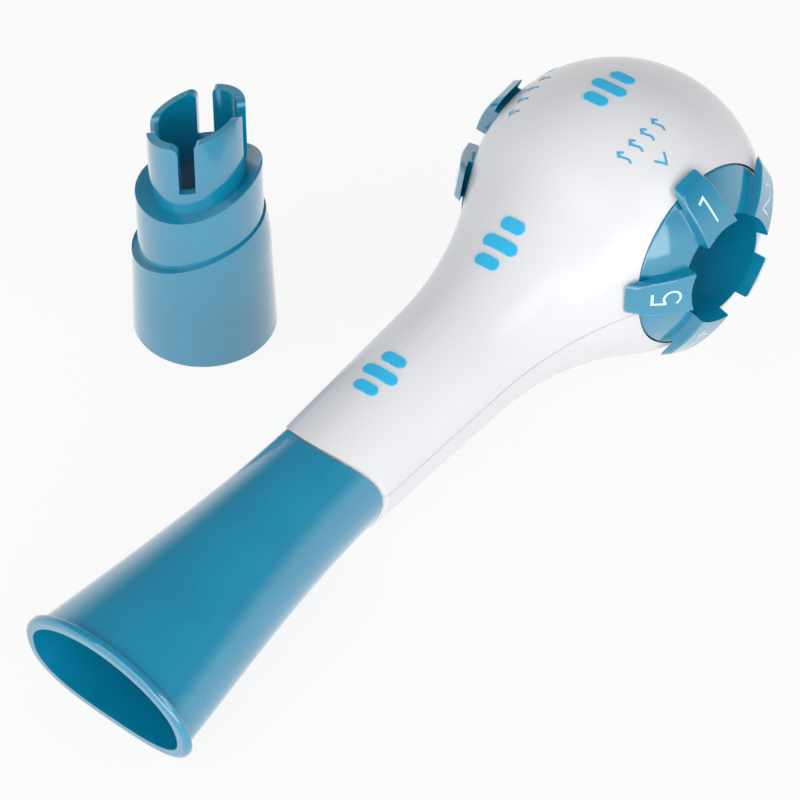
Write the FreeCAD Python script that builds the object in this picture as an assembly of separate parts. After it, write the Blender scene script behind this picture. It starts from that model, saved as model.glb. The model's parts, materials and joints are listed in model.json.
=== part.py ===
"""Hand-held breathing trainer with two resistance dials, a pull-off mouthpiece and a loose adapter.

The trainer is modelled about its own axis: +X points from the mouthpiece to the round head,
the exhale dial faces -Y, the inhale dial faces +Y, and the head's centre is the origin.
It is then laid down, resting on its head and on the flatter edge of the mouthpiece flange. The
housing is rolled a little, so that the exhale dial looks up, and the adapter stands beside it.
All lengths are in millimetres and all angles in degrees.
"""
import FreeCAD
import Part
import math
import os

from FreeCAD import Vector

# Housing: a ball-shaped head that runs into a slim neck
HEAD_R = 26.8
NECK_WIDE_X = 46.0
NECK_WIDE_R = 12.3
NECK_END_R = 11.2
NECK_TIP_X = 80.6
WALL = 1.8
SLIP = 0.05

# The end of the neck is cut by an arc seen from above, so the mouthpiece cannot turn on it
JOINT_ARC_R = 15.2
JOINT_GAP = 0.5

# Mouthpiece
MOUTH_X = 134.3
MOUTH_HALF_WIDTH = 18.3
MOUTH_RISE = 12.3
MOUTH_DROP = 9.8
ARCH_POWER = 1.95
BASE_POWER = 2.8
LIP = 0.95
LIP_THICK = 1.6
LIP_ROUND = 0.95
LIP_BACK_ROUND = 0.4
MOUTH_WALL = 1.1
FLARE_START_X = 86.0
FLARE_POWER = 1.3

# Airway tube and the slotted spigots that plug into it
TUBE_R = 9.9
TUBE_BORE_R = 8.9
TUBE_HEAD_X = 22.5
TUBE_SHORT = 1.6
SPIGOT_R = 8.7
SPIGOT_RING_R = 8.85
SPIGOT_BORE_R = 7.3
SPIGOT_ROOT = 8.4
SPIGOT_LENGTH = 21.0
SPIGOT_SLOT = 3.0
SPIGOT_SLOTS = 4

# Dials, measured outward along the dial axis from the middle of the head.
# Each dial faces a little toward the mouth, and its index mark sits a little off the top.
# The exhale dial is set right on its mark and the inhale dial a little short of it.
DIAL_TOE = 2.3
INDEX_TURN = 5.0
INHALE_TURN = 1.5
PORT_R = 17.5
DIAL_R = 17.2
DIAL_DOME_R = 26.7
DIAL_WALL = 2.2
DIAL_EDGE = 0.5
DIAL_SKIRT = 1.75
DIAL_BORE_R = 9.9
DIAL_FLANGE_R = 18.4
DIAL_FLANGE_LOW = 14.9
DIAL_FLANGE_HIGH = 16.4
WELL_WALL = 1.4
WELL_LOW = 13.6

# Raised lobes of a dial, which follow the ball form and overhang the housing
LOBE_TOP_R = 28.8
LOBE_UNDER_R = 27.3
LOBE_TIP_R = 28.2
LOBE_ROOT_R = 25.2
LOBE_CREST_REACH = 18.8
LOBE_REACH = 20.0
LOBE_WIDE = 8.1
LOBE_NARROW = 6.4
LOBE_LEAN = 0.4
LOBE_ROUND = 1.2
LOBE_EDGE = 0.4
EXHALE_STEPS = 5
INHALE_STEPS = 6

# Graded holes, one for each step of a dial
ORIFICE_THICK = 1.1
ORIFICE_PITCH_R = 5.9
EXHALE_HOLE_R = (2.4, 2.05, 1.7, 1.35, 1.0)
INHALE_HOLE_R = (2.4, 2.1, 1.8, 1.5, 1.2, 0.9)

# Fixed port plate under each dial, with its two soft rings
PLATE_R = 18.9
PLATE_LOW = 10.6
PLATE_HIGH = 12.2
PLATE_RIM_R = 18.6
PLATE_RIM_INNER_R = 16.6
PLATE_PORT_R = 2.6
SEAL_R = 3.2
SEAL_HALF_WIDTH = 0.4
SEAL_SUNK = 0.6
SEAL_PROUD = 0.25
DRAG_RING_WIDTH = 1.1
RUNNING_GAP = 0.05

# One-way valves inside the cross duct
DUCT_R = 15.2
DUCT_BORE_R = 13.5
DUCT_OVERLAP = 3.0
SEAT_LOW = 6.4
SEAT_HIGH = 7.6
SEAT_WINDOWS = 6
SEAT_WINDOW_R = 2.2
SEAT_WINDOW_PITCH_R = 7.2
STEM_R = 1.0
STEM_HEAD_R = 2.2
STEM_HEAD_THICK = 0.6
FLAP_R = 11.0
FLAP_HOLE_R = 1.3
FLAP_THICK = 0.6
FLAP_LIFT = 1.2

# Socket of the cross duct that takes the airway tube
SOCKET_R = 11.6
SOCKET_X = 31.0
INLET_R = 6.0
INLET_TAPER = 5.0
TUBE_RING_X = 27.0
TUBE_RING_SIDE = 1.0

# Grip marks let into the top of the housing: place along, spacing and place across of each group
MARK_RAISE = 0.3
MARK_DEPTH = 0.9
MARK_LONG = 7.2
MARK_SHORT = 4.9
MARK_WIDE = 2.2
MARK_GROUPS = {"neck": (-62.3, 3.7, 0.0), "middle": (-29.5, 3.75, 0.1), "head": (2.95, 3.7, 0.5)}

# Ribs in the neck that carry the airway tube, and locating pins that register the two halves
RIB_PLACES = (-38.5, -45.0, -51.5)
RIB_THICK = 1.4
CAVITY_END_X = 58.0
THROAT_START_X = -31.0
PIN_R = 0.9
PIN_LENGTH = 1.8
PIN_HOLE_DEPTH = 2.1
PIN_BOSS_R = 2.0
PIN_BOSS_HALF = 3.5
PIN_PLACES = ((22.2, 8.0), (22.2, -8.0), (-34.2, 12.1), (-34.2, -12.1))

# Adapter: a socket for standard 22 mm breathing connectors under a slotted spigot
SOCKET_BORE_R = 11.0
SOCKET_DEPTH = 17.0
SOCKET_TAPER = 3.0
CUP_FOOT_R = 13.3
CUP_RIM_R = 12.7
CUP_RIM_Z = 18.2
FOOT_ROUND = 0.5
COLLAR_R = 11.5
COLLAR_FOOT_Z = 22.6
COLLAR_FOOT_TILT = 4.2
COLLAR_RIM_Z = 34.9
COLLAR_RIM_TILT = 3.2
COLLAR_RIM_DIP = 1.8
RING_Z = 37.6
RING_TILT = 2.2
FINGER_Z = 48.3
FINGER_TILT = 3.1
FINGER_CORNER = 1.2
ADAPTER_TURN = -59.0
ADAPTER_X = -49.0
ADAPTER_Y = 55.9

# How the trainer lies
ROLL = -3.3

OUTLINE_POINTS = 20
BIG = 400.0


def point(x, y, z):
    return Vector(x, y, z)


def tube(outer_r, inner_r, low, high):
    """A plain tube about Z."""
    ring = Part.makeCylinder(outer_r, high - low, point(0, 0, low))
    if inner_r > 0:
        ring = ring.cut(Part.makeCylinder(inner_r, high - low, point(0, 0, low)))
    return ring


def revolved(edges, axis):
    """Revolve a closed chain of edges through a full turn."""
    face = Part.Face(Part.Wire(Part.__sortEdges__(edges)))
    return face.revolve(point(0, 0, 0), axis, 360)


def line(a, b):
    return Part.LineSegment(a, b).toShape()


def arc(a, middle, b):
    return Part.Arc(a, middle, b).toShape()


def prism(points, direction):
    """A flat closed outline pushed along a direction."""
    wire = Part.makePolygon(list(points) + [points[0]])
    return Part.Face(wire).extrude(direction)


def turned(shape, degrees):
    copy = shape.copy()
    copy.rotate(point(0, 0, 0), point(0, 0, 1), degrees)
    return copy


# Housing form

def neck_angle():
    return math.atan((NECK_WIDE_R - NECK_END_R) / (NECK_TIP_X - NECK_WIDE_X))


def shoulder_arc():
    """Radius and centre (distance from the head, height) of the hollow between head and neck."""
    slope = neck_angle()
    reach = NECK_WIDE_X * math.sin(slope) + NECK_WIDE_R * math.cos(slope)
    radius = (NECK_WIDE_X ** 2 + NECK_WIDE_R ** 2 - HEAD_R ** 2) / (2 * (HEAD_R - reach))
    return (radius, NECK_WIDE_X + radius * math.sin(slope), NECK_WIDE_R + radius * math.cos(slope))


def housing_form(offset=0.0, end_x=90.0):
    """The housing's outer form as one solid of revolution about X, grown by offset."""
    head_r = HEAD_R + offset
    radius, centre_x, centre_r = shoulder_arc()
    radius -= offset
    slope = neck_angle()
    spread = math.hypot(centre_x, centre_r)
    meet = point(-head_r * centre_x / spread, 0, head_r * centre_r / spread)
    flat_x = centre_x - radius * math.sin(slope)
    flat_r = centre_r - radius * math.cos(slope)
    tail_r = flat_r - (end_x - flat_x) * math.tan(slope)
    turn = math.atan2(meet.z, meet.x) / 2
    crown = point(head_r * math.cos(turn), 0, head_r * math.sin(turn))
    down = math.atan2(centre_r - meet.z, centre_x + meet.x)
    half = (down + math.pi / 2 - slope) / 2
    saddle = point(-(centre_x - radius * math.cos(half)), 0, centre_r - radius * math.sin(half))
    edges = [
        arc(point(head_r, 0, 0), crown, meet),
        arc(meet, saddle, point(-flat_x, 0, flat_r)),
        line(point(-flat_x, 0, flat_r), point(-end_x, 0, tail_r)),
        line(point(-end_x, 0, tail_r), point(-end_x, 0, 0)),
        line(point(-end_x, 0, 0), point(head_r, 0, 0)),
    ]
    return revolved(edges, point(1, 0, 0))


def behind_joint(shift=0.0):
    """Everything on the head's side of the neck's arc-shaped end, moved toward the mouth by shift."""
    centre_x = -(NECK_TIP_X - JOINT_ARC_R) - shift
    column = Part.makeCylinder(JOINT_ARC_R, BIG, point(centre_x, 0, -BIG / 2))
    block = Part.makeBox(BIG, BIG, BIG, point(centre_x, -BIG / 2, -BIG / 2))
    return column.fuse(block)


def along_port(shape, side):
    """Stand a shape built about +Z on a dial axis: side -1 is exhale, side +1 is inhale."""
    placed = shape.copy()
    placed.rotate(point(0, 0, 0), point(1, 0, 0), 90)
    if side > 0:
        placed.rotate(point(0, 0, 0), point(0, 0, 1), 180)
    placed.rotate(point(0, 0, 0), point(0, 0, 1), side * DIAL_TOE)
    return placed


def along_both_ports(shape):
    return [along_port(shape, -1), along_port(shape, 1)]


def grip_mark(x, y, length, skin, core):
    """One rounded bar across the top of the housing."""
    half = (length - MARK_WIDE) / 2
    bar = Part.makeBox(MARK_WIDE, 2 * half, BIG, point(x - MARK_WIDE / 2, y - half, 0))
    for end in (y - half, y + half):
        bar = bar.fuse(Part.makeCylinder(MARK_WIDE / 2, BIG, point(x, end, 0)))
    return bar.removeSplitter().common(skin).cut(core)


def grip_marks():
    """Three groups of three bars, short, long, short."""
    skin = housing_form(MARK_RAISE)
    core = housing_form(-MARK_DEPTH)
    groups = {}
    for name, (middle, pitch, across) in MARK_GROUPS.items():
        bars = []
        for step, length in ((-1, MARK_SHORT), (0, MARK_LONG), (1, MARK_SHORT)):
            bars.append(grip_mark(middle + step * pitch, across, length, skin, core))
        groups[name] = bars
    return groups


def plate_ledges(form):
    """Ribs inside the head that hold the rims of both port plates."""
    ledge = tube(HEAD_R, PLATE_R + SLIP, PLATE_LOW, PLATE_HIGH)
    return [ledge.common(form) for ledge in along_both_ports(ledge)]


def tube_ribs(form):
    """Ring ribs inside the neck that carry the airway tube."""
    ribs = []
    for x in RIB_PLACES:
        rib = Part.makeCylinder(HEAD_R, RIB_THICK, point(x, 0, 0), point(1, 0, 0))
        ribs.append(rib.common(form))
    return ribs


def pin_bosses(form):
    """Short posts across the parting plane, merged with the inside of the wall."""
    bosses = []
    for x, y in PIN_PLACES:
        boss = Part.makeCylinder(PIN_BOSS_R, 2 * PIN_BOSS_HALF, point(x, y, -PIN_BOSS_HALF))
        bosses.append(boss.common(form))
    return bosses


def pins(radius, length):
    return [Part.makeCylinder(radius, length, point(x, y, 0)) for x, y in PIN_PLACES]


def throat():
    """The bore that the airway tube lies in, from the neck's end to the head."""
    return Part.makeCylinder(TUBE_R + SLIP, BIG, point(-BIG + THROAT_START_X, 0, 0), point(1, 0, 0))


def housing():
    """Both housing halves before they are parted."""
    form = housing_form()
    inside = housing_form(-WALL / 2)
    shell = form.cut(housing_form(-WALL, CAVITY_END_X))
    shell = shell.fuse(plate_ledges(inside) + tube_ribs(inside) + pin_bosses(inside))
    ports = along_both_ports(Part.makeCylinder(PORT_R, BIG))
    socket = Part.makeCylinder(SOCKET_R + SLIP, SOCKET_X + SLIP, point(-SOCKET_X - SLIP, 0, 0), point(1, 0, 0))
    return shell.cut([throat(), socket] + ports).common(behind_joint())


def half_housing(shell, marks, upper):
    """One half of the housing: the lower has the locating pins and the upper their holes."""
    low = 0 if upper else -BIG
    half = shell.common(Part.makeBox(2 * BIG, BIG, BIG, point(-BIG, -BIG / 2, low)))
    if upper:
        half = half.cut(marks + pins(PIN_R + SLIP, PIN_HOLE_DEPTH))
    else:
        half = half.fuse(pins(PIN_R, PIN_LENGTH))
    return half.removeSplitter()


# Mouthpiece

def closed_curve(points):
    """A smooth closed wire through points of an outline."""
    curve = Part.BSplineCurve()
    curve.interpolate(Points=points, PeriodicFlag=True)
    return Part.Wire(curve.toShape())


def mouth_points(x, width, rise, drop, arch_power, base_power):
    """Points of a rounded outline across the axis: an arch above and a flatter curve below."""
    points = []
    for step in range(OUTLINE_POINTS):
        angle = 2 * math.pi * step / OUTLINE_POINTS
        above = math.sin(angle) >= 0
        power = arch_power if above else base_power
        height = rise if above else drop
        across = math.copysign(abs(math.cos(angle)) ** (2 / power), math.cos(angle))
        up = math.copysign(abs(math.sin(angle)) ** (2 / power), math.sin(angle))
        points.append(point(-x, width * across, height * up))
    return points


def flange_points():
    back = MOUTH_X - LIP_THICK
    return mouth_points(back, MOUTH_HALF_WIDTH, MOUTH_RISE, MOUTH_DROP, ARCH_POWER, BASE_POWER)


def mouth_section(x, shrink=0.0):
    """The mouthpiece's outline at a distance from the head: round at the neck, D-shaped at the mouth."""
    share = (x - FLARE_START_X) / (MOUTH_X - LIP_THICK - FLARE_START_X)
    swell = min(max(share, 0.0), 1.0) ** FLARE_POWER
    width = NECK_END_R + (MOUTH_HALF_WIDTH - LIP - NECK_END_R) * swell
    rise = NECK_END_R + (MOUTH_RISE - LIP - NECK_END_R) * swell
    drop = NECK_END_R + (MOUTH_DROP - LIP - NECK_END_R) * swell
    arch_power = 2.0 + (ARCH_POWER - 2.0) * swell
    base_power = 2.0 + (BASE_POWER - 2.0) * swell
    outline = mouth_points(x, width - shrink, rise - shrink, drop - shrink, arch_power, base_power)
    return closed_curve(outline)


def mouth_lip():
    """The rounded flange that the lips close on."""
    plate = Part.Face(closed_curve(flange_points())).extrude(point(-LIP_THICK, 0, 0))
    front = [e for e in plate.Edges if e.CenterOfMass.x < SLIP - MOUTH_X]
    plate = plate.makeFillet(LIP_ROUND, front)
    back = [e for e in plate.Edges if e.CenterOfMass.x > -(MOUTH_X - LIP_THICK) - SLIP]
    return plate.makeFillet(LIP_BACK_ROUND, back)


def spigot():
    """The slotted spigot about Z that plugs into the airway tube."""
    root = tube(SPIGOT_R, SPIGOT_BORE_R, 0, SPIGOT_ROOT)
    fingers = tube(SPIGOT_RING_R, SPIGOT_BORE_R, SPIGOT_ROOT, SPIGOT_LENGTH)
    slot = Part.makeBox(2 * TUBE_R, SPIGOT_SLOT, BIG, point(-TUBE_R, -SPIGOT_SLOT / 2, SPIGOT_ROOT))
    for index in range(SPIGOT_SLOTS // 2):
        fingers = fingers.cut(turned(slot, 360.0 * index / SPIGOT_SLOTS + 45.0))
    return root.fuse(fingers)


def mouthpiece():
    """The flared mouthpiece with its flange, its arc-shaped end and the spigot that plugs into the neck."""
    flare_length = MOUTH_X - FLARE_START_X
    stations = [FLARE_START_X + flare_length * share for share in (0.0, 0.25, 0.5, 0.75)]
    start = NECK_TIP_X - JOINT_ARC_R
    outer = [mouth_section(x) for x in [start] + stations + [MOUTH_X - LIP_THICK / 2]]
    inner = [mouth_section(x, MOUTH_WALL) for x in stations + [MOUTH_X]]
    body = Part.makeLoft(outer, True).cut(behind_joint(JOINT_GAP)).fuse(mouth_lip())
    seat = Part.makeCylinder(TUBE_R + SLIP, BIG, point(-BIG, 0, 0), point(1, 0, 0))
    body = body.cut(seat.common(behind_joint(JOINT_GAP + WALL)))
    plug = spigot()
    plug.rotate(point(0, 0, 0), point(0, 1, 0), 90)
    plug.translate(point(-(NECK_TIP_X + JOINT_GAP + 2 * WALL), 0, 0))
    bore = Part.makeCylinder(SPIGOT_BORE_R, 2 * JOINT_ARC_R, point(-FLARE_START_X - WALL, 0, 0), point(1, 0, 0))
    return body.fuse(plug).cut(Part.makeLoft(inner, True)).cut(bore).removeSplitter()


# Air path inside the head

def airway_tube():
    """The tube down the neck, from just past the neck's end to the cross duct."""
    pipe = Part.makeCylinder(TUBE_R, BIG, point(-BIG - TUBE_HEAD_X, 0, 0), point(1, 0, 0))
    bore = Part.makeCylinder(TUBE_BORE_R, BIG, point(-BIG, 0, 0), point(1, 0, 0))
    return pipe.common(behind_joint(TUBE_SHORT)).cut(bore)


def cross_duct():
    """The duct across the head with a socket for the airway tube."""
    seat_x = TUBE_HEAD_X - SLIP
    halves = along_both_ports(tube(DUCT_R, 0, -DUCT_OVERLAP, PLATE_LOW))
    body = halves[0].fuse([halves[1], Part.makeCylinder(SOCKET_R, SOCKET_X, point(-SOCKET_X, 0, 0), point(1, 0, 0))])
    hollows = along_both_ports(tube(DUCT_BORE_R, 0, -DUCT_OVERLAP, PLATE_LOW))
    hollows += along_both_ports(tube(PLATE_R + SLIP, 0, PLATE_LOW, HEAD_R))
    hollows += [
        Part.makeCylinder(TUBE_R + SLIP, BIG, point(-BIG - seat_x, 0, 0), point(1, 0, 0)),
        Part.makeCone(TUBE_BORE_R, INLET_R, INLET_TAPER, point(-seat_x, 0, 0), point(1, 0, 0)),
        Part.makeCylinder(INLET_R, seat_x, point(-seat_x, 0, 0), point(1, 0, 0)),
        tube_ring(),
    ]
    return body.cut(hollows).removeSplitter()


def tube_ring():
    """The soft ring that seals the airway tube in its socket."""
    ring = tube(TUBE_R + TUBE_RING_SIDE, TUBE_R, 0, TUBE_RING_SIDE)
    ring.rotate(point(0, 0, 0), point(0, 1, 0), 90)
    ring.translate(point(-TUBE_RING_X, 0, 0))
    return ring


def port_plate(side):
    """The fixed plate under a dial: one port at the index, a seal groove and a rim that carries the dial."""
    plate = tube(PLATE_R, 0, PLATE_LOW, PLATE_HIGH)
    rim = tube(PLATE_RIM_R, PLATE_RIM_INNER_R, PLATE_HIGH, DIAL_FLANGE_LOW - 2 * RUNNING_GAP)
    port = turned(Part.makeCylinder(PLATE_PORT_R, BIG, point(0, ORIFICE_PITCH_R, 0)), -side * INDEX_TURN)
    return plate.fuse(rim).cut([port, port_seal(side)]).removeSplitter()


def port_seal(side):
    """The soft ring round the port, which stands proud toward the orifice disc."""
    ring = tube(SEAL_R + SEAL_HALF_WIDTH, SEAL_R - SEAL_HALF_WIDTH,
                PLATE_HIGH - SEAL_SUNK, PLATE_HIGH + SEAL_PROUD)
    ring.translate(point(0, ORIFICE_PITCH_R, 0))
    return turned(ring, -side * INDEX_TURN)


def drag_ring():
    """The soft ring inside the plate's rim that keeps a dial where it was set."""
    outer = PLATE_RIM_INNER_R - SLIP
    return tube(outer, outer - DRAG_RING_WIDTH, PLATE_HIGH, DIAL_FLANGE_LOW - RUNNING_GAP)


def valve_seat(outward):
    """A windowed plate with the stem that guides the flap. The stem points outward or inward."""
    plate = tube(DUCT_BORE_R, 0, SEAT_LOW, SEAT_HIGH)
    for index in range(SEAT_WINDOWS):
        window = Part.makeCylinder(SEAT_WINDOW_R, BIG, point(SEAT_WINDOW_PITCH_R, 0, 0))
        plate = plate.cut(turned(window, 360.0 * index / SEAT_WINDOWS))
    stem_length = FLAP_THICK + FLAP_LIFT + 0.1
    if outward:
        stem = tube(STEM_R, 0, SEAT_HIGH, SEAT_HIGH + stem_length)
        head_low = SEAT_HIGH + stem_length
    else:
        stem = tube(STEM_R, 0, SEAT_LOW - stem_length, SEAT_LOW)
        head_low = SEAT_LOW - stem_length - STEM_HEAD_THICK
    head = tube(STEM_HEAD_R, 0, head_low, head_low + STEM_HEAD_THICK)
    return plate.fuse([stem, head]).removeSplitter()


def valve_flap(outward):
    """The thin round flap that lifts off its seat one way only."""
    low = SEAT_HIGH if outward else SEAT_LOW - FLAP_THICK
    return tube(FLAP_R, FLAP_HOLE_R, low, low + FLAP_THICK)


# Dials

def dome_height(radius, reach):
    return math.sqrt(radius ** 2 - reach ** 2)


def dial_cap():
    """The domed cap with its skirt, its hidden flange and the well in the middle."""
    inner_dome = DIAL_DOME_R - DIAL_WALL
    well_out = DIAL_BORE_R + WELL_WALL
    skirt_in = DIAL_R - DIAL_SKIRT

    def at(reach, height):
        return point(reach, 0, height)

    def dome(reach, radius):
        return at(reach, dome_height(radius, reach))

    edges = [
        line(at(DIAL_BORE_R, WELL_LOW), at(well_out, WELL_LOW)),
        line(at(well_out, WELL_LOW), dome(well_out, inner_dome)),
        arc(dome(well_out, inner_dome), dome((well_out + skirt_in) / 2, inner_dome), dome(skirt_in, inner_dome)),
        line(dome(skirt_in, inner_dome), at(skirt_in, DIAL_FLANGE_LOW)),
        line(at(skirt_in, DIAL_FLANGE_LOW), at(DIAL_FLANGE_R, DIAL_FLANGE_LOW)),
        line(at(DIAL_FLANGE_R, DIAL_FLANGE_LOW), at(DIAL_FLANGE_R, DIAL_FLANGE_HIGH)),
        line(at(DIAL_FLANGE_R, DIAL_FLANGE_HIGH), at(DIAL_R, DIAL_FLANGE_HIGH)),
        line(at(DIAL_R, DIAL_FLANGE_HIGH), dome(DIAL_R, DIAL_DOME_R)),
        arc(dome(DIAL_R, DIAL_DOME_R), dome((DIAL_R + DIAL_BORE_R) / 2, DIAL_DOME_R), dome(DIAL_BORE_R, DIAL_DOME_R)),
        line(dome(DIAL_BORE_R, DIAL_DOME_R), at(DIAL_BORE_R, WELL_LOW)),
    ]
    cap = revolved(edges, point(0, 0, 1))
    return cap.makeFillet(DIAL_EDGE, [e for e in cap.Edges if on_dome_edge(e)])


def on_dome_edge(edge):
    """True for the round outer edge of the dome."""
    start = edge.Vertexes[0].Point
    return abs(start.Length - DIAL_DOME_R) < SLIP and abs(math.hypot(start.x, start.y) - DIAL_R) < SLIP


def ball_point(radius, reach):
    """A point of a ball about the head's centre, at a distance from the dial axis along +Y."""
    return point(0, reach, dome_height(radius, reach))


def ball_arc(radius, start, end):
    return arc(ball_point(radius, start), ball_point(radius, (start + end) / 2), ball_point(radius, end))


def lobe_side():
    """The side of a lobe: a curved bar that roots in the cap and overhangs the housing."""
    inner = DIAL_BORE_R - 2 * LOBE_ROUND
    root = DIAL_R - LOBE_ROUND
    edges = [
        ball_arc(LOBE_TOP_R, inner, LOBE_CREST_REACH),
        line(ball_point(LOBE_TOP_R, LOBE_CREST_REACH), ball_point(LOBE_TIP_R, LOBE_REACH)),
        line(ball_point(LOBE_TIP_R, LOBE_REACH), ball_point(LOBE_UNDER_R, root)),
        line(ball_point(LOBE_UNDER_R, root), ball_point(LOBE_ROOT_R, root)),
        ball_arc(LOBE_ROOT_R, root, inner),
        line(ball_point(LOBE_ROOT_R, inner), ball_point(LOBE_TOP_R, inner)),
    ]
    return Part.Face(Part.Wire(Part.__sortEdges__(edges)))


def lobe_plan():
    """The lobe seen along the dial axis: a bar that narrows outward."""
    inner = DIAL_BORE_R - 2 * LOBE_ROUND
    outer = LOBE_REACH + LOBE_ROUND
    corners = [
        point(-LOBE_WIDE / 2, inner, 0),
        point(LOBE_WIDE / 2, inner, 0),
        point(LOBE_NARROW / 2, outer, 0),
        point(-LOBE_NARROW / 2, outer, 0),
    ]
    return prism(corners, point(0, 0, BIG))


def well_mouth():
    """The space over the dial's hole, opening a little from the dome to the lobes' tops."""
    rim = dome_height(DIAL_DOME_R, DIAL_BORE_R)
    top = dome_height(LOBE_TOP_R, DIAL_BORE_R)
    slope = LOBE_LEAN / (top - rim)
    low = rim - DIAL_WALL
    return Part.makeCone(DIAL_BORE_R - slope * DIAL_WALL, DIAL_BORE_R + slope * (BIG - rim), BIG - low, point(0, 0, low))


def lobe():
    """One raised lobe, pointing along +Y."""
    bar = lobe_side().extrude(point(2 * LOBE_WIDE, 0, 0))
    bar.translate(point(-LOBE_WIDE, 0, 0))
    block = bar.common(lobe_plan())
    block = block.makeFillet(LOBE_ROUND, [e for e in block.Edges if at_lobe_corner(e)])
    block = block.makeFillet(LOBE_EDGE, [e for e in block.Edges if on_lobe_crest(e)])
    return block.cut(well_mouth())


def at_lobe_corner(edge):
    """True for the two slanted edges at the lobe's outer corners."""
    ends = [vertex.Point for vertex in edge.Vertexes]
    outside = all(end.y > LOBE_CREST_REACH - SLIP for end in ends)
    return outside and ends[0].x * ends[-1].x > 0


def on_lobe_crest(edge):
    """True for the edges round the lobe's top face, but for the inner one that the well cuts off."""
    ends = [vertex.Point for vertex in edge.Vertexes]
    on_top = all(abs(math.hypot(end.y, end.z) - LOBE_TOP_R) < SLIP for end in ends)
    return on_top and max(end.y for end in ends) > DIAL_BORE_R


def dial(steps, first_turn):
    """A whole dial: the cap with its lobes, which are numbered clockwise from the top."""
    cap = dial_cap()
    lobes = [turned(lobe(), -(first_turn + 360.0 * index / steps)) for index in range(steps)]
    return cap.fuse(lobes).cut(Part.makeCylinder(DIAL_BORE_R, BIG)).removeSplitter()


def orifice_disc(hole_sizes, first_turn):
    """The floor of a dial's well, with one hole of its own size for each step."""
    disc = tube(DIAL_BORE_R + WELL_WALL, 0, WELL_LOW - ORIFICE_THICK, WELL_LOW)
    for index, hole_r in enumerate(hole_sizes):
        hole = Part.makeCylinder(hole_r, BIG, point(0, ORIFICE_PITCH_R, 0))
        disc = disc.cut(turned(hole, -(first_turn + 360.0 * index / len(hole_sizes))))
    return disc


# Adapter

def adapter_shoulder():
    """The convex shoulder above the cup, cut off along the collar's slanted foot."""
    rise = COLLAR_FOOT_Z + COLLAR_FOOT_TILT + WALL - CUP_RIM_Z
    inset = CUP_RIM_R - COLLAR_R + SLIP
    bulge_r = (rise ** 2 + inset ** 2) / (2 * inset)
    half_inset = bulge_r - math.sqrt(bulge_r ** 2 - (rise / 2) ** 2)
    foot = point(CUP_RIM_R, 0, CUP_RIM_Z)
    middle = point(CUP_RIM_R - half_inset, 0, CUP_RIM_Z + rise / 2)
    top = point(CUP_RIM_R - inset, 0, CUP_RIM_Z + rise)
    axis_low = point(0, 0, CUP_RIM_Z)
    axis_high = point(0, 0, CUP_RIM_Z + rise)
    edges = [line(axis_low, foot), arc(foot, middle, top), line(top, axis_high), line(axis_high, axis_low)]
    crown = revolved(edges, point(0, 0, 1))
    return crown.common(below_plane(COLLAR_FOOT_Z, COLLAR_FOOT_TILT, COLLAR_R))


def tilted(shape, height, tilt, radius):
    """Lift a shape to a height and tip it so that it rises by tilt at the given radius along +X."""
    placed = shape.copy()
    placed.rotate(point(0, 0, 0), point(0, 1, 0), -math.degrees(math.atan2(tilt, radius)))
    placed.translate(point(0, 0, height))
    return placed


def below_plane(height, tilt, radius):
    """A block under a plane that rises by tilt at the given radius along +X."""
    return tilted(Part.makeBox(BIG, BIG, BIG, point(-BIG / 2, -BIG / 2, -BIG)), height, tilt, radius)


def under_collar_rim():
    """The space under the collar's rim: a slanted plane, scooped by a broad arc between two horns."""
    block = Part.makeBox(BIG, BIG, BIG, point(-BIG / 2, -BIG / 2, -BIG))
    scoop_r = (COLLAR_R ** 2 + COLLAR_RIM_DIP ** 2) / (2 * COLLAR_RIM_DIP)
    scoop_z = scoop_r - COLLAR_RIM_DIP
    scoop = Part.makeCylinder(scoop_r, BIG, point(0, BIG / 2, scoop_z), point(0, -1, 0))
    return tilted(block.cut(scoop), COLLAR_RIM_Z, COLLAR_RIM_TILT, COLLAR_R)


def adapter_cup():
    """The wide end that fits over a breathing connector, standing on the floor."""
    cup = Part.makeCone(CUP_FOOT_R, CUP_RIM_R, CUP_RIM_Z)
    foot = [e for e in cup.Edges if e.CenterOfMass.z < FOOT_ROUND and e.Length > CUP_RIM_R]
    return cup.makeFillet(FOOT_ROUND, foot)


def adapter_fingers():
    """The slotted end that springs into the neck: four fingers above a slanted line."""
    under_line = below_plane(RING_Z, RING_TILT, SPIGOT_R)
    fingers = Part.makeCylinder(SPIGOT_RING_R, BIG).cut(under_line)
    fingers = fingers.common(below_plane(FINGER_Z, FINGER_TILT, SPIGOT_R))
    fingers = fingers.cut(Part.makeCylinder(SPIGOT_BORE_R, BIG))
    slot = Part.makeBox(2 * TUBE_R, SPIGOT_SLOT, BIG, point(-TUBE_R, -SPIGOT_SLOT / 2, 0))
    for index in range(SPIGOT_SLOTS // 2):
        fingers = fingers.cut(turned(slot, 180.0 * index / (SPIGOT_SLOTS // 2)))
    return fingers.makeFillet(FINGER_CORNER, [e for e in fingers.Edges if at_finger_tip(e)])


def at_finger_tip(edge):
    """True for the short edges at the outer ends of the slots."""
    across = edge.Length < 2 * (SPIGOT_RING_R - SPIGOT_BORE_R)
    return across and edge.CenterOfMass.z > FINGER_Z - FINGER_TILT - FINGER_CORNER


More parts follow.
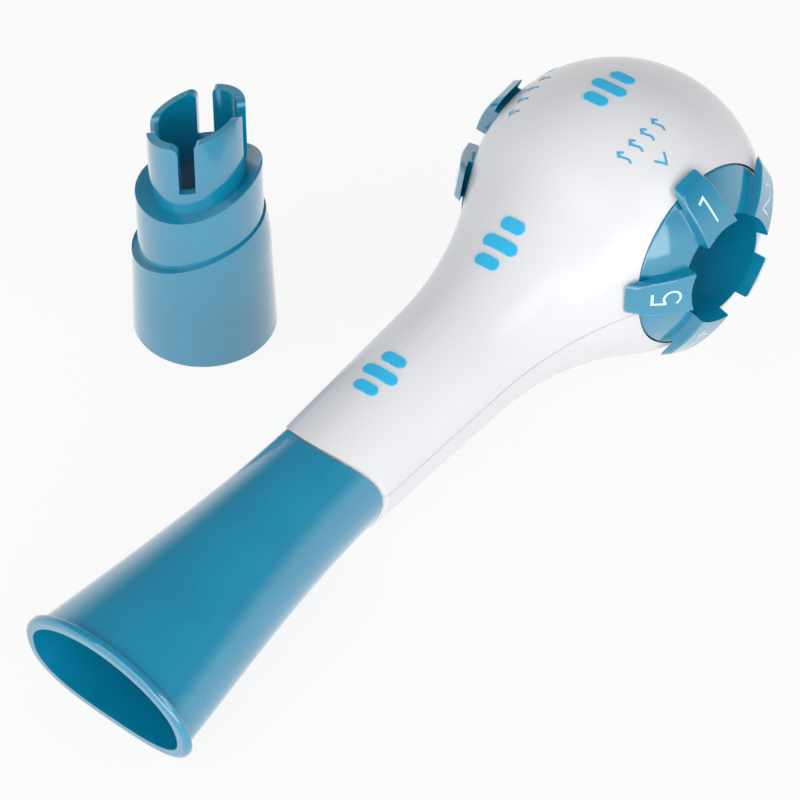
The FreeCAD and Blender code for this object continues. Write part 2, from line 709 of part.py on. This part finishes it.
def adapter():
    """The loose adapter, standing on its wide end about Z."""
    inside_cup = point(0, 0, SOCKET_DEPTH)
    collar = Part.makeCylinder(COLLAR_R, BIG, inside_cup).common(under_collar_rim())
    stem = Part.makeCylinder(SPIGOT_R, BIG, inside_cup).common(below_plane(RING_Z, RING_TILT, SPIGOT_R))
    body = adapter_cup().fuse([adapter_shoulder(), collar, stem])
    hollows = [
        Part.makeCylinder(SOCKET_BORE_R, SOCKET_DEPTH),
        Part.makeCone(SOCKET_BORE_R, SPIGOT_BORE_R, SOCKET_TAPER, point(0, 0, SOCKET_DEPTH)),
        Part.makeCylinder(SPIGOT_BORE_R, BIG),
    ]
    return body.cut(hollows).fuse(adapter_fingers()).removeSplitter()


# Placing the pieces on the floor

def flange_drop():
    """How far the flange reaches below the axis."""
    return -mouth_lip().optimalBoundingBox(False).ZMin


def lay_down_angle():
    """How far the axis dips toward the mouth when head and flange both rest on the floor."""
    reach = MOUTH_X - LIP_ROUND
    drop = flange_drop() - LIP_ROUND
    spread = math.hypot(reach, drop)
    return math.degrees(math.asin((HEAD_R - LIP_ROUND) / spread) - math.atan2(drop, reach))


def laid_down(shape, roll):
    placed = shape.copy()
    placed.rotate(point(0, 0, 0), point(1, 0, 0), roll)
    placed.rotate(point(0, 0, 0), point(0, 1, 0), -lay_down_angle())
    placed.translate(point(0, 0, HEAD_R))
    return placed


def build():
    marks = grip_marks()
    all_marks = [bar for bars in marks.values() for bar in bars]
    shell = housing()
    trainer = {
        "upper_shell": half_housing(shell, all_marks, True),
        "lower_shell": half_housing(shell, all_marks, False),
        "airway_tube": airway_tube(),
        "cross_duct": cross_duct(),
        "tube_ring": tube_ring(),
        "mouthpiece": mouthpiece(),
    }
    for name, bars in marks.items():
        trainer["grip_marks_" + name] = Part.makeCompound(bars)
    sides = (
        ("exhale", -1, True, EXHALE_STEPS, EXHALE_HOLE_R, -INDEX_TURN),
        ("inhale", 1, False, INHALE_STEPS, INHALE_HOLE_R, INHALE_TURN),
    )
    for name, side, outward, steps, holes, turn in sides:
        pieces = {
            "port_plate": port_plate(side),
            "port_seal": port_seal(side),
            "drag_ring": drag_ring(),
            "valve_seat": valve_seat(outward),
            "valve_flap": valve_flap(outward),
            "dial": dial(steps, turn),
            "orifice_disc": orifice_disc(holes, turn),
        }
        for piece, shape in pieces.items():
            trainer[name + "_" + piece] = along_port(shape, side)
    parts = {name: laid_down(shape, 0 if name == "mouthpiece" else ROLL) for name, shape in trainer.items()}
    stand = turned(adapter(), ADAPTER_TURN)
    stand.translate(point(ADAPTER_X, ADAPTER_Y, 0))
    parts["adapter"] = stand
    return parts


def centred(parts):
    """Move everything so the origin is under the middle of the whole set."""
    box = FreeCAD.BoundBox()
    for shape in parts.values():
        box.add(shape.optimalBoundingBox(False))
    shift = point(-box.Center.x, -box.Center.y, -box.ZMin)
    for shape in parts.values():
        shape.translate(shift)
    return shift


def main():
    os.makedirs("parts", exist_ok=True)
    parts = build()
    shift = centred(parts)
    print("the axis dips", round(lay_down_angle(), 4), "degrees; everything moved by", shift)
    for name, shape in parts.items():
        shape.exportStep("parts/" + name + ".step")


main()
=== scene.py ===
"""Breathing trainer with its adapter: finishes, print, floor, lamps and camera around the CAD frame."""
import json
import math
import bmesh
import bpy
from mathutils import Matrix, Vector


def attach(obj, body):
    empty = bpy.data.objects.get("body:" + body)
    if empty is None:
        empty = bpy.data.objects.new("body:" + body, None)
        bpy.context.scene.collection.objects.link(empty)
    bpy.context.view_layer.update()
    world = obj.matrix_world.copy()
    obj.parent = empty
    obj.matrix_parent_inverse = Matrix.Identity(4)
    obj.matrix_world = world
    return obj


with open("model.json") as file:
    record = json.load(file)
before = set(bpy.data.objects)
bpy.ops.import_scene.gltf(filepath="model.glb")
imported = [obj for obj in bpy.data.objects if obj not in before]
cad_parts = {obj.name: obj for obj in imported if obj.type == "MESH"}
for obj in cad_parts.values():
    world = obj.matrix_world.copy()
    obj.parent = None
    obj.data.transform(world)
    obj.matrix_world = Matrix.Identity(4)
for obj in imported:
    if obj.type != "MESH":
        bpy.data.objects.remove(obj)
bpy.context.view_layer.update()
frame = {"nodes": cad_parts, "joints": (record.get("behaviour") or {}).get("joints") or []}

MM = 0.001

# The trainer's own axes, taken from its joints
joints = {joint["name"]: joint for joint in frame["joints"]}
HEAD = Vector(joints["exhale_dial_turn"]["pos_m"])
OUTWARD = {side: Vector(joints[side + "_dial_turn"]["axis"]).normalized() for side in ("exhale", "inhale")}
ALONG = -Vector(joints["mouthpiece_pull"]["axis"]).normalized()
UP = OUTWARD["exhale"].cross(ALONG).normalized()

# Sizes of the printed marks. Turns are in degrees, clockwise from the top as seen from outside the dial
HEAD_RADIUS = 26.8 * MM
LOBE_TOP_RADIUS = 28.8 * MM
INK_PROUD = 0.025 * MM
INK_STEP = 0.35 * MM
DIGIT_HEIGHT = 4.6 * MM
DIGIT_STROKE = 0.42 * MM
DIGIT_CENTRE_RADIUS = 14.5 * MM
POINTER_RADIUS = 21.9 * MM
POINTER_WIDTH = 2.6 * MM
POINTER_HEIGHT = 1.9 * MM
BREATH_RADIUS = {"exhale": 24.4 * MM, "inhale": 22.1 * MM}
BREATH_SPACING = 3.1 * MM
PRINT_STROKE = 0.46 * MM
BREATH_ARROWS = 4
ARROW_LENGTH = 3.04 * MM
ARROW_WAVE = 0.28 * MM
ARROW_STEPS = 8
BARB_SIDE = 0.7 * MM
BARB_BACK = 0.75 * MM
STEPS = {"exhale": 5, "inhale": 6}
INDEX_TURN = {"exhale": -5.0, "inhale": 5.0}
FIRST_LOBE_TURN = {"exhale": -5.0, "inhale": 1.5}

# Colours as linear light
WHITE_PLASTIC = (0.81, 0.81, 0.82)
WHITE_SHADE = (0.775, 0.777, 0.795)
SPECK_GREY = (0.55, 0.55, 0.56)
SEAM_GREY = (0.36, 0.35, 0.37)
BLUE_PLASTIC = (0.002, 0.27, 0.445)
BLUE_SCUFFED = (0.25, 0.55, 0.68)
# Painted shade: the blue plastic darkened for the disc, which is seen in the shade of the dial's bore
DISC_BLUE_PAINTED_SHADE = (0.003, 0.14, 0.24)
GRIP_BLUE = (0.03, 0.53, 0.88)
GRIP_WORN = (0.08, 0.55, 0.88)
PRINT_BLUE = (0.07, 0.42, 0.70)
PRINT_WHITE = (0.66, 0.86, 0.96)
INNER_WHITE = (0.55, 0.58, 0.60)
INNER_SHADE = (0.48, 0.51, 0.54)
SEAL_BLACK = (0.02, 0.02, 0.022)
SEAL_BLOOM = (0.06, 0.06, 0.065)
FLAP_CLEAR = (0.45, 0.52, 0.55)
FLAP_BLOOM = (0.55, 0.60, 0.62)
FLOOR_WHITE = (0.92, 0.92, 0.92)
FLOOR_SHADE = (0.90, 0.90, 0.90)
GLOW_WHITE = (1.0, 1.0, 1.0)
AMBIENT_WHITE = (0.95, 0.97, 1.0)

# Light. The ceiling dims between two heights of the view direction
AMBIENT = 0.49
CEILING_LEVEL = 0.14
CEILING_EDGE = 0.08
CEILING_FULL = 0.5
FLOOR_GLOW = 0.88
FLOOR_REACH = 3.0

# Each lamp's azimuth and elevation from the head in degrees, its distance, its size and its watts
LAMPS = {
    "lamp_left": (177, 34, 0.8, (0.72, 0.6), 1.7),
    "lamp_right": (-97, 38, 0.8, (0.45, 0.35), 1.1),
    "lamp_front": (-135, 9, 0.9, (1.2, 0.5), 4.4),
}

# Camera, at the photograph's angle
CAMERA_FROM_HEAD = Vector((-434.6, -326.3, 472.2)) * MM
CAMERA_AZIMUTH = math.radians(-49.03)
CAMERA_ELEVATION = math.radians(43.82)
CAMERA_ROLL = math.radians(-0.16)
CAMERA_LENS = 180.1
SENSOR_WIDTH = 36.0
VIEW_REACH = 20.0


# Shader maths

class Field:
    """A number that varies over a surface. Arithmetic on fields adds the nodes for it."""

    def __init__(self, graph, socket):
        self.graph = graph
        self.socket = socket

    def _maths(self, operation, *values):
        return self.graph.node("ShaderNodeMath", {"operation": operation}, dict(enumerate(values))).field()

    def __add__(self, other):
        return self._maths("ADD", self, other)

    def __sub__(self, other):
        return self._maths("SUBTRACT", self, other)

    def __rsub__(self, other):
        return self._maths("SUBTRACT", other, self)

    def __mul__(self, other):
        return self._maths("MULTIPLY", self, other)

    def __abs__(self):
        return self._maths("ABSOLUTE", self)

    __radd__ = __add__
    __rmul__ = __mul__

    def at_least(self, other):
        return self._maths("MAXIMUM", self, other)

    def step(self, low, high):
        """0 below low and 1 above high, with a smooth rise between."""
        settings = {"interpolation_type": "SMOOTHSTEP"}
        sockets = {"Value": self, "From Min": low, "From Max": high}
        return self.graph.node("ShaderNodeMapRange", settings, sockets).field()


class Node:
    """A shader node that has been added to a graph."""

    def __init__(self, graph, node):
        self.graph = graph
        self.node = node

    def out(self, name=0):
        return self.node.outputs[name]

    def field(self, name=0):
        return Field(self.graph, self.node.outputs[name])


class Graph:
    """The shader nodes of a material or of the surroundings."""

    def __init__(self, tree):
        self.tree = tree
        tree.nodes.clear()

    def node(self, kind, settings=None, sockets=None):
        """Add a node: its settings come first, then its sockets' values or links."""
        node = self.tree.nodes.new(kind)
        for name, value in (settings or {}).items():
            setattr(node, name, value)
        for name, value in (sockets or {}).items():
            self.plug(node.inputs[name], value)
        return Node(self, node)

    def plug(self, socket, value):
        if isinstance(value, Field):
            value = value.socket
        if isinstance(value, bpy.types.NodeSocket):
            self.tree.links.new(value, socket)
        elif isinstance(value, tuple) and len(value) == 3 and socket.type == "RGBA":
            socket.default_value = value + (1.0,)
        else:
            socket.default_value = value


class Finish(Graph):
    """One material, built from nodes."""

    def __init__(self, name):
        self.material = bpy.data.materials.new(name)
        self.material.use_nodes = True
        super().__init__(self.material.node_tree)
        self.place = self.node("ShaderNodeTexCoord").out("Object")

    def mix(self, share, first, second):
        """A colour between two colours."""
        settings = {"data_type": "RGBA"}
        return self.node("ShaderNodeMix", settings, {0: share, 6: first, 7: second}).out(2)

    def along(self, origin, axis):
        """The distance of a surface point from origin along an axis, in metres."""
        sockets = {0: self.place, 1: tuple(origin)}
        offset = self.node("ShaderNodeVectorMath", {"operation": "SUBTRACT"}, sockets)
        sockets = {0: offset.out(), 1: tuple(axis)}
        return self.node("ShaderNodeVectorMath", {"operation": "DOT_PRODUCT"}, sockets).field("Value")

    def clouds(self, size, detail=3.0):
        """Soft random patches of about the given size, between 0 and 1."""
        sockets = {"Vector": self.place, "Scale": 1.0 / size, "Detail": detail, "Roughness": 0.55}
        return self.node("ShaderNodeTexNoise", None, sockets).field()

    def bump(self, height, depth, under=None):
        """A normal from a height field whose full swing is depth metres."""
        sockets = {"Height": height, "Distance": depth, "Strength": 1.0}
        if under is not None:
            sockets["Normal"] = under
        return self.node("ShaderNodeBump", None, sockets).out()

    def surface(self, **sockets):
        """Close the material with one Principled shader."""
        named = {name.replace("_", " "): value for name, value in sockets.items()}
        shader = self.node("ShaderNodeBsdfPrincipled", None, named)
        self.node("ShaderNodeOutputMaterial", None, {"Surface": shader.out()})
        return self.material


# Finishes

def moulded_skin(finish, grain_depth, grain_size=0.35 * MM, wave_depth=0.0):
    """The fine grain of a moulded surface over slow waves of shrinkage."""
    waves = finish.bump(finish.clouds(9 * MM, 1.0), wave_depth)
    return finish.bump(finish.clouds(grain_size, 2.0), grain_depth, waves)


def scuffs(finish, size=4 * MM):
    """Faint rubbed patches broken up by fine streaks."""
    patch = finish.clouds(size, 4.0).step(0.52, 0.72)
    streak = finish.clouds(0.25 * MM, 2.0).step(0.5, 0.75)
    return patch * streak


def white_housing():
    """Glossy white plastic, rubbed by handling, with a fine dark line where the two halves meet."""
    finish = Finish("white_housing")
    tone = finish.clouds(22 * MM, 2.0).step(0.35, 0.7)
    speck = finish.clouds(0.6 * MM, 1.0).step(0.72, 0.78)
    seam = 1.0 - abs(finish.along(HEAD, UP)).step(0.02 * MM, 0.09 * MM)
    colour = finish.mix(tone * 0.4, WHITE_PLASTIC, WHITE_SHADE)
    colour = finish.mix(speck * 0.08, colour, SPECK_GREY)
    colour = finish.mix(seam * 0.8, colour, SEAM_GREY)
    rough = 0.20 + finish.clouds(6 * MM) * 0.06 + scuffs(finish) * 0.14 + seam * 0.3
    normal = finish.bump(1.0 - seam, 0.05 * MM, moulded_skin(finish, 0.003 * MM, 0.5 * MM, 0.04 * MM))
    return finish.surface(Base_Color=colour, Roughness=rough, Normal=normal, IOR=1.48,
                          Subsurface_Weight=0.05, Subsurface_Radius=(1.0, 1.0, 1.0), Subsurface_Scale=0.002)


def blue_plastic(name="blue_plastic", colour_value=BLUE_PLASTIC):
    """Glossy tinted plastic with flow patches from moulding and fine handling marks."""
    finish = Finish(name)
    flow = finish.clouds(14 * MM, 3.0).step(0.3, 0.75)
    deeper = tuple(level * 0.9 for level in colour_value)
    colour = finish.mix(flow, colour_value, deeper)
    colour = finish.mix(scuffs(finish) * 0.08, colour, BLUE_SCUFFED)
    rough = 0.19 + finish.clouds(5 * MM) * 0.06 + scuffs(finish, 3 * MM) * 0.16
    normal = moulded_skin(finish, 0.002 * MM, 0.4 * MM, 0.05 * MM)
    return finish.surface(Base_Color=colour, Roughness=rough, Normal=normal, IOR=1.5,
                          Coat_Weight=0.9, Coat_Roughness=0.08, Coat_IOR=1.8,
                          Subsurface_Weight=0.10, Subsurface_Radius=(0.2, 0.8, 1.0), Subsurface_Scale=0.003)


def grip_mark():
    """Soft satin inlay of the grip bars, slightly paler where fingers have rubbed it."""
    finish = Finish("grip_mark")
    worn = finish.clouds(1.6 * MM, 3.0).step(0.48, 0.75)
    colour = finish.mix(worn * 0.35, GRIP_BLUE, GRIP_WORN)
    rough = 0.42 + finish.clouds(1.2 * MM) * 0.12
    normal = moulded_skin(finish, 0.008 * MM, 0.22 * MM)
    return finish.surface(Base_Color=colour, Roughness=rough, Normal=normal, IOR=1.45)


def inner_plastic():
    """Matte natural plastic of the hidden air passages."""
    finish = Finish("inner_plastic")
    tone = finish.clouds(7 * MM)
    colour = finish.mix(tone, INNER_WHITE, INNER_SHADE)
    rough = 0.5 + finish.clouds(2 * MM) * 0.15
    normal = moulded_skin(finish, 0.006 * MM)
    return finish.surface(Base_Color=colour, Roughness=rough, Normal=normal, IOR=1.45)


def rubber(name, colour_value, bloom_value, rough_level):
    """Soft rubber of the seals and flaps, with a dusty bloom."""
    finish = Finish(name)
    bloom = finish.clouds(1.5 * MM, 4.0).step(0.5, 0.8)
    colour = finish.mix(bloom * 0.5, colour_value, bloom_value)
    rough = rough_level + finish.clouds(0.8 * MM) * 0.15
    normal = moulded_skin(finish, 0.01 * MM, 0.25 * MM)
    return finish.surface(Base_Color=colour, Roughness=rough, Normal=normal, IOR=1.42)


def ink(name, colour_value):
    """Thin printed ink, a little uneven in tone."""
    finish = Finish(name)
    patch = finish.clouds(0.5 * MM, 3.0).step(0.35, 0.7)
    thin = tuple(min(1.0, level * 1.12) for level in colour_value)
    colour = finish.mix(patch, colour_value, thin)
    rough = 0.36 + finish.clouds(0.4 * MM) * 0.1
    normal = finish.bump(finish.clouds(0.15 * MM), 0.003 * MM)
    return finish.surface(Base_Color=colour, Roughness=rough, Normal=normal, IOR=1.45)


def dress(node, material):
    """Give a CAD node its finish."""
    for place in frame["nodes"][node].material_slots:
        place.material = material


def dress_all():
    """Give every CAD node the finish that the last word of its name stands for."""
    white = white_housing()
    blue = blue_plastic()
    # The disc takes the blue plastic darkened as painted shade
    disc = blue_plastic("disc_plastic", DISC_BLUE_PAINTED_SHADE)
    grip = grip_mark()
    inner = inner_plastic()
    seal = rubber("seal_rubber", SEAL_BLACK, SEAL_BLOOM, 0.55)
    flap = rubber("valve_rubber", FLAP_CLEAR, FLAP_BLOOM, 0.4)
    by_ending = {
        "shell": white, "neck": grip, "middle": grip, "head": grip, "tube": inner, "duct": inner,
        "plate": inner, "seat": inner, "ring": seal, "seal": seal, "flap": flap, "disc": disc,
        "dial": blue, "mouthpiece": blue, "adapter": blue,
    }
    for node in frame["nodes"]:
        dress(node, by_ending[node.split("_")[-1]])


# Printed marks

def arc_points(centre, radius, start, end):
    """Points of an arc in degrees, counted anticlockwise from the right."""
    count = max(3, int(abs(end - start) / 12))
    points = []
    for step in range(count + 1):
        angle = math.radians(start + (end - start) * step / count)
        points.append((centre[0] + radius * math.cos(angle), centre[1] + radius * math.sin(angle)))
    return points


def digit_strokes(digit):
    """Strokes of a plain digit, one unit high and centred on the origin."""
    if digit == 1:
        return [[(-0.26, 0.4), (0.05, 0.5), (0.05, -0.5)]]
    if digit == 2:
        top = arc_points((0.0, 0.22), 0.27, 165, -35)
        return [top + [(-0.28, -0.5), (0.3, -0.5)]]
    if digit == 3:
        upper = arc_points((0.0, 0.25), 0.25, 155, -80)
        lower = arc_points((0.0, -0.23), 0.27, 80, -155)
        return [upper[:-1] + [(-0.05, 0.02)], [(-0.05, 0.02)] + lower]
    if digit == 4:
        return [[(0.12, -0.5), (0.12, 0.5), (-0.3, -0.2), (0.3, -0.2)]]
    if digit == 5:
        bowl = arc_points((-0.02, -0.19), 0.3, 118, -150)
        return [[(0.26, 0.5), (-0.2, 0.5), (-0.24, 0.06)] + bowl]
    bowl = arc_points((0.0, -0.21), 0.28, 150, -210)
    return [[(0.2, 0.45), (-0.06, 0.28)] + bowl]


def resample(points, step):
    """The same line with points no further apart than step."""
    line = [points[0]]
    for start, end in zip(points, points[1:]):
        run = math.dist(start, end)
        count = max(1, math.ceil(run / step))
        for index in range(1, count + 1):
            share = index / count
            line.append((start[0] + (end[0] - start[0]) * share, start[1] + (end[1] - start[1]) * share))
    return line


def side_offsets(points, half_width):
    """Left and right edge points of a stroke, mitred at its corners."""
    sides = []
    for index, here in enumerate(points):
        before = points[max(index - 1, 0)]
        after = points[min(index + 1, len(points) - 1)]
        into = Vector((here[0] - before[0], here[1] - before[1]))
        out = Vector((after[0] - here[0], after[1] - here[1]))
        into = into.normalized() if into.length > 0 else out.normalized()
        out = out.normalized() if out.length > 0 else into
        middle = (into + out).normalized() if (into + out).length > 0.2 else out
        normal = Vector((-middle.y, middle.x))
        reach = half_width / max(0.45, normal.dot(Vector((-out.y, out.x))))
        sides.append((Vector(here) + normal * reach, Vector(here) - normal * reach))
    return sides


def printed(name, strokes, half_width, onto, material, body):
    """Flat strokes in metres, laid onto a curved surface as thin ink that rides on a body."""
    mesh = bpy.data.meshes.new(name)
    build = bmesh.new()
    for stroke in strokes:
        previous = None
        for left, right in side_offsets(resample(stroke, INK_STEP), half_width):
            pair = (build.verts.new(onto(left.x, left.y)), build.verts.new(onto(right.x, right.y)))
            if previous is not None:
                build.faces.new((previous[0], previous[1], pair[1], pair[0]))
            previous = pair
    build.to_mesh(mesh)
    build.free()
    mesh.materials.append(material)
    for face in mesh.polygons:
        face.use_smooth = True
    piece = bpy.data.objects.new(name, mesh)
    bpy.context.scene.collection.objects.link(piece)
    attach(piece, body)


def onto_lobe(outward, turn):
    """A map from a flat mark to the curved top of the lobe at a clockwise turn from the top."""
    right = UP.cross(outward).normalized()
    reach = UP * math.cos(turn) + right * math.sin(turn)
    side = right * math.cos(turn) - UP * math.sin(turn)
    radius = LOBE_TOP_RADIUS + INK_PROUD

    def place(x, y):
        out = DIGIT_CENTRE_RADIUS + y
        return HEAD + side * x + reach * out + outward * math.sqrt(radius ** 2 - out ** 2)
    return place


def onto_head(outward, turn, distance):
    """A map from a flat mark to the ball of the housing, at a distance from the dial's axis."""
    right = UP.cross(outward).normalized()
    reach = UP * math.cos(turn) + right * math.sin(turn)
    side = right * math.cos(turn) - UP * math.sin(turn)
    height = math.sqrt(HEAD_RADIUS ** 2 - distance ** 2)
    centre = (reach * distance + outward * height).normalized()
    rise = (reach - centre * reach.dot(centre)).normalized()

    def place(x, y):
        direction = (centre * HEAD_RADIUS + side * x + rise * y).normalized()
        return HEAD + direction * (HEAD_RADIUS + INK_PROUD)
    return place


def scaled(strokes, size):
    """Strokes one unit high, made size metres high."""
    return [[(x * size, y * size) for x, y in stroke] for stroke in strokes]


def dial_digits(side, material):
    """One digit on each lobe of a dial, counted clockwise."""
    for index in range(STEPS[side]):
        turn = math.radians(FIRST_LOBE_TURN[side] + 360.0 * index / STEPS[side])
        strokes = scaled(digit_strokes(index + 1), DIGIT_HEIGHT)
        name = side + "_digit_" + str(index + 1)
        printed(name, strokes, DIGIT_STROKE / 2, onto_lobe(OUTWARD[side], turn), material, side + "_dial")


def exhale_pointer(material):
    """The printed chevron that shows which step of the exhale dial is set."""
    half_width = POINTER_WIDTH / 2
    half_height = POINTER_HEIGHT / 2
    chevron = [[(-half_width, half_height), (0.0, -half_height), (half_width, half_height)]]
    onto = onto_head(OUTWARD["exhale"], math.radians(INDEX_TURN["exhale"]), POINTER_RADIUS)
    printed("exhale_pointer", chevron, PRINT_STROKE / 2, onto, material, "housing")


def breath_arrows(side, away, material):
    """Plain wavy arrows that show which way the breath goes past the dial."""
    strokes = []
    for column in range(BREATH_ARROWS):
        middle = (column - (BREATH_ARROWS - 1) / 2) * BREATH_SPACING
        stem = []
        for step in range(ARROW_STEPS + 1):
            share = step / ARROW_STEPS
            stem.append((middle + ARROW_WAVE * math.sin(math.tau * share), (share - 0.5) * ARROW_LENGTH))
        tip = stem[-1] if away else stem[0]
        back = -BARB_BACK if away else BARB_BACK
        barbs = [(tip[0] - BARB_SIDE, tip[1] + back), tip, (tip[0] + BARB_SIDE, tip[1] + back)]
        strokes += [stem, barbs]
    onto = onto_head(OUTWARD[side], math.radians(INDEX_TURN[side]), BREATH_RADIUS[side])
    printed(side + "_breath_arrows", strokes, PRINT_STROKE / 2, onto, material, "housing")


def print_marks():
    white = ink("print_white", PRINT_WHITE)
    blue = ink("print_blue", PRINT_BLUE)
    for side in ("exhale", "inhale"):
        dial_digits(side, white)
        breath_arrows(side, side == "exhale", blue)
    exhale_pointer(blue)


# Floor, lamps and camera

def floor_finish():
    """Pale matte floor that reads as white to the camera and keeps the shadow."""
    finish = Finish("floor_white")
    grain = finish.clouds(3 * MM, 2.0)
    colour = finish.mix(grain * 0.3, FLOOR_WHITE, FLOOR_SHADE)
    matte = finish.node("ShaderNodeBsdfPrincipled", None,
                        {"Base Color": colour, "Roughness": 0.9, "Specular IOR Level": 0.1})
    path = finish.node("ShaderNodeLightPath")
    mirrored = path.field("Is Glossy Ray").at_least(path.field("Is Transmission Ray"))
    seen = (path.field("Is Camera Ray") * FLOOR_GLOW).at_least(mirrored)
    glow = finish.node("ShaderNodeEmission", None, {"Color": GLOW_WHITE, "Strength": 1.0})
    blend = finish.node("ShaderNodeMixShader", None, {0: seen, 1: matte.out(), 2: glow.out()})
    finish.node("ShaderNodeOutputMaterial", None, {"Surface": blend.out()})
    return finish.material


def lay_floor():
    mesh = bpy.data.meshes.new("floor")
    build = bmesh.new()
    bmesh.ops.create_grid(build, x_segments=1, y_segments=1, size=FLOOR_REACH)
    build.to_mesh(mesh)
    build.free()
    floor = bpy.data.objects.new("floor", mesh)
    mesh.materials.append(floor_finish())
    bpy.context.scene.collection.objects.link(floor)


def white_surroundings():
    """A pale room with a dimmer ceiling: even light on the object, white where it is seen or mirrored."""
    world = bpy.data.worlds.new("surroundings")
    world.use_nodes = True
    bpy.context.scene.world = world
    room = Graph(world.node_tree)
    path = room.node("ShaderNodeLightPath")
    mirrored = path.field("Is Glossy Ray").at_least(path.field("Is Transmission Ray"))
    seen = path.field("Is Camera Ray").at_least(mirrored)
    direction = room.node("ShaderNodeTexCoord").out("Generated")
    height = room.node("ShaderNodeSeparateXYZ", None, {"Vector": direction}).out("Z")
    heights = {"Value": height, "From Min": CEILING_EDGE, "From Max": CEILING_FULL}
    levels = {"To Min": 1.0, "To Max": CEILING_LEVEL}
    ceiling = room.node("ShaderNodeMapRange", None, {**heights, **levels}).out()
    ambient = room.node("ShaderNodeBackground", None, {"Color": AMBIENT_WHITE, "Strength": AMBIENT})
    shown = room.node("ShaderNodeBackground", None, {"Color": GLOW_WHITE, "Strength": ceiling})
    blend = room.node("ShaderNodeMixShader", None, {0: seen, 1: ambient.out(), 2: shown.out()})
    room.node("ShaderNodeOutputWorld", None, {"Surface": blend.out()})


def soft_lamp(name, place, size, watts):
    """A rectangular lamp that faces the trainer's head."""
    data = bpy.data.lights.new(name, "AREA")
    data.shape = "RECTANGLE"
    data.size, data.size_y = size
    data.energy = watts
    lamp = bpy.data.objects.new(name, data)
    lamp.location = place
    lamp.rotation_euler = (HEAD - place).to_track_quat("-Z", "Y").to_euler()
    bpy.context.scene.collection.objects.link(lamp)


def lamp_place(azimuth, elevation, distance):
    """A place seen from the trainer's head at an azimuth and an elevation in degrees."""
    around = math.radians(azimuth)
    up = math.radians(elevation)
    level = math.cos(up)
    direction = Vector((level * math.cos(around), level * math.sin(around), math.sin(up)))
    return HEAD + direction * distance


def light_the_table():
    for name, (azimuth, elevation, distance, size, watts) in LAMPS.items():
        soft_lamp(name, lamp_place(azimuth, elevation, distance), size, watts)


def set_camera():
    data = bpy.data.cameras.new("camera")
    data.sensor_width = SENSOR_WIDTH
    data.lens = CAMERA_LENS
    data.clip_end = VIEW_REACH
    forward = Vector((-math.sin(CAMERA_AZIMUTH) * math.cos(CAMERA_ELEVATION),
                      math.cos(CAMERA_AZIMUTH) * math.cos(CAMERA_ELEVATION),
                      -math.sin(CAMERA_ELEVATION)))
    right = Vector((math.cos(CAMERA_AZIMUTH), math.sin(CAMERA_AZIMUTH), 0.0))
    above = right.cross(forward)
    turned_right = right * math.cos(CAMERA_ROLL) + above * math.sin(CAMERA_ROLL)
    turned_above = above * math.cos(CAMERA_ROLL) - right * math.sin(CAMERA_ROLL)
    rotation = Matrix((turned_right, turned_above, -forward)).transposed().to_4x4()
    camera = bpy.data.objects.new("camera", data)
    camera.matrix_world = Matrix.Translation(HEAD + CAMERA_FROM_HEAD) @ rotation
    bpy.context.scene.collection.objects.link(camera)
    bpy.context.scene.camera = camera


bpy.context.scene.view_settings.view_transform = "Standard"
dress_all()
print_marks()
lay_floor()
white_surroundings()
light_the_table()
set_camera()
